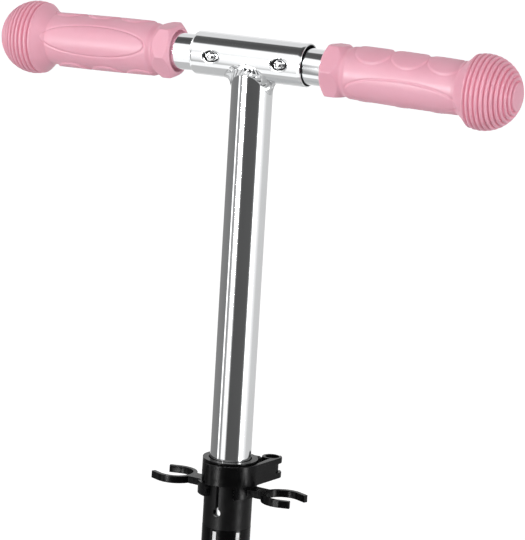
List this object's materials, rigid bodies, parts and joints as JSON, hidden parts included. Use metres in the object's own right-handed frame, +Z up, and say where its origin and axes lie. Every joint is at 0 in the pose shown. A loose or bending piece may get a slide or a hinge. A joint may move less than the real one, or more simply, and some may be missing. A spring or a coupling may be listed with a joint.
{
  "type": "folding kick scooter",
  "caption": "Two-wheel folding kick scooter: T-bar on a telescopic column with a quick-release clamp and handle clips, hinged neck, hollow deck, foot brake.",
  "frame": {"origin": "on the ground, under the middle of the bounding box, wheels touching z = 0", "axes": "+Z up, -Y forward (direction of travel), +X to the rider's left; the steering column leans back by 7.5 degrees in the Y-Z plane"},
  "size_m": [0.3448, 0.6234, 0.8742],
  "materials": {
    "grip_pink": "satin",
    "polished_aluminium": "polished",
    "black_paint": "semi-gloss",
    "black_cast": "satin",
    "black_plastic": "matte",
    "nylon": "matte",
    "headset_black": "gloss",
    "zinc": "satin",
    "bearing_steel": "polished",
    "deck_aluminium": "satin",
    "grip_tape": "rough",
    "wheel_pink": "satin"
  },
  "bodies": {
    "deck": {"deck": "deck_aluminium", "deck_caps": "black_plastic", "grip_tape": "grip_tape", "hinge_bracket": "black_paint", "bracket_screws": "zinc", "fold_pivot_bolt": "zinc", "fold_pivot_nut": "zinc", "rear_fork_left": "black_paint", "rear_fork_right": "black_paint", "rear_axle": "zinc", "rear_axle_nut": "zinc", "rear_spacers": "zinc", "brake_bracket": "black_paint", "brake_pin": "zinc", "brake_spring": "zinc"},
    "brake": {"brake_fender": "deck_aluminium"},
    "rear_wheel": {"rear_tyre": "wheel_pink", "rear_hub": "black_plastic", "rear_bearings": "bearing_steel"},
    "front_wheel": {"front_tyre": "wheel_pink", "front_hub": "black_plastic", "front_bearings": "bearing_steel"},
    "neck": {"head_tube": "black_paint", "neck_strut": "black_paint", "pivot_bushings": "nylon", "headset_cups": "headset_black", "headset_bearings": "bearing_steel", "draw_bolt": "zinc", "draw_washers": "black_cast", "draw_nut": "zinc"},
    "fold_lever": {"fold_lever": "black_cast", "fold_lever_pin": "zinc"},
    "steering": {"fork": "black_paint", "steerer": "zinc", "crown_race": "zinc", "headset_cone": "headset_black", "lock_washer": "zinc", "lock_nut": "headset_black", "front_axle": "zinc", "front_axle_nut": "zinc", "front_spacers": "zinc", "outer_tube": "black_paint", "clamp_collar": "black_cast", "clamp_bolt": "black_paint", "clamp_washer": "black_cast", "clamp_nut": "black_paint", "clamp_pin": "black_paint", "clip_ring": "black_plastic"},
    "clamp_lever": {"clamp_lever": "black_cast"},
    "column": {"column_tube": "polished_aluminium", "foot_guide": "nylon", "t_sleeve": "polished_aluminium", "t_weld": "polished_aluminium", "handle_tube_left": "polished_aluminium", "handle_tube_right": "polished_aluminium", "grip_left": "grip_pink", "grip_right": "grip_pink"},
    "button_left": {"snap_button_left": "polished_aluminium"},
    "button_right": {"snap_button_right": "polished_aluminium"}
  },
  "joints": [
    {"name": "fold", "type": "hinge", "parent": "deck", "child": "neck", "pos_m": [0, -0.14775, 0.104], "axis": [-1, 0, 0], "range_deg": [0, 80]},
    {"name": "fold_lever_turn", "type": "hinge", "parent": "neck", "child": "fold_lever", "pos_m": [0.0318, -0.16848, 0.12568], "axis": [0, 0.7227, 0.6912], "range_deg": [0, 100]},
    {"name": "steer", "type": "hinge", "parent": "neck", "child": "steering", "pos_m": [0, -0.2536, 0], "axis": [0, 0.1305, 0.9914], "continuous": true},
    {"name": "front_wheel_spin", "type": "hinge", "parent": "steering", "child": "front_wheel", "pos_m": [0, -0.25175, 0.06], "axis": [1, 0, 0], "continuous": true},
    {"name": "clamp_lever_turn", "type": "hinge", "parent": "steering", "child": "clamp_lever", "pos_m": [0.01745, -0.1515, 0.5993], "axis": [0, 0.1305, 0.9914], "range_deg": [0, 110]},
    {"name": "height", "type": "slide", "parent": "steering", "child": "column", "axis": [0, 0.1305, 0.9914], "range_m": [-0.205, 0]},
    {"name": "button_left_press", "type": "slide", "parent": "column", "child": "button_left", "axis": [0, 0.9914, -0.1305], "range_m": [0, 0.0026], "stiffness_N_per_m": 1500, "springref_m": -0.003},
    {"name": "button_right_press", "type": "slide", "parent": "column", "child": "button_right", "axis": [0, 0.9914, -0.1305], "range_m": [0, 0.0026], "stiffness_N_per_m": 1500, "springref_m": -0.003},
    {"name": "rear_wheel_spin", "type": "hinge", "parent": "deck", "child": "rear_wheel", "pos_m": [0, 0.24225, 0.06], "axis": [1, 0, 0], "continuous": true},
    {"name": "brake_press", "type": "hinge", "parent": "deck", "child": "brake", "pos_m": [0, 0.16525, 0.089], "axis": [-1, 0, 0], "range_deg": [0, 3.8], "stiffness_Nm_per_rad": 6, "springref_deg": -6.88, "deforming": ["brake_spring"]}
  ]
}
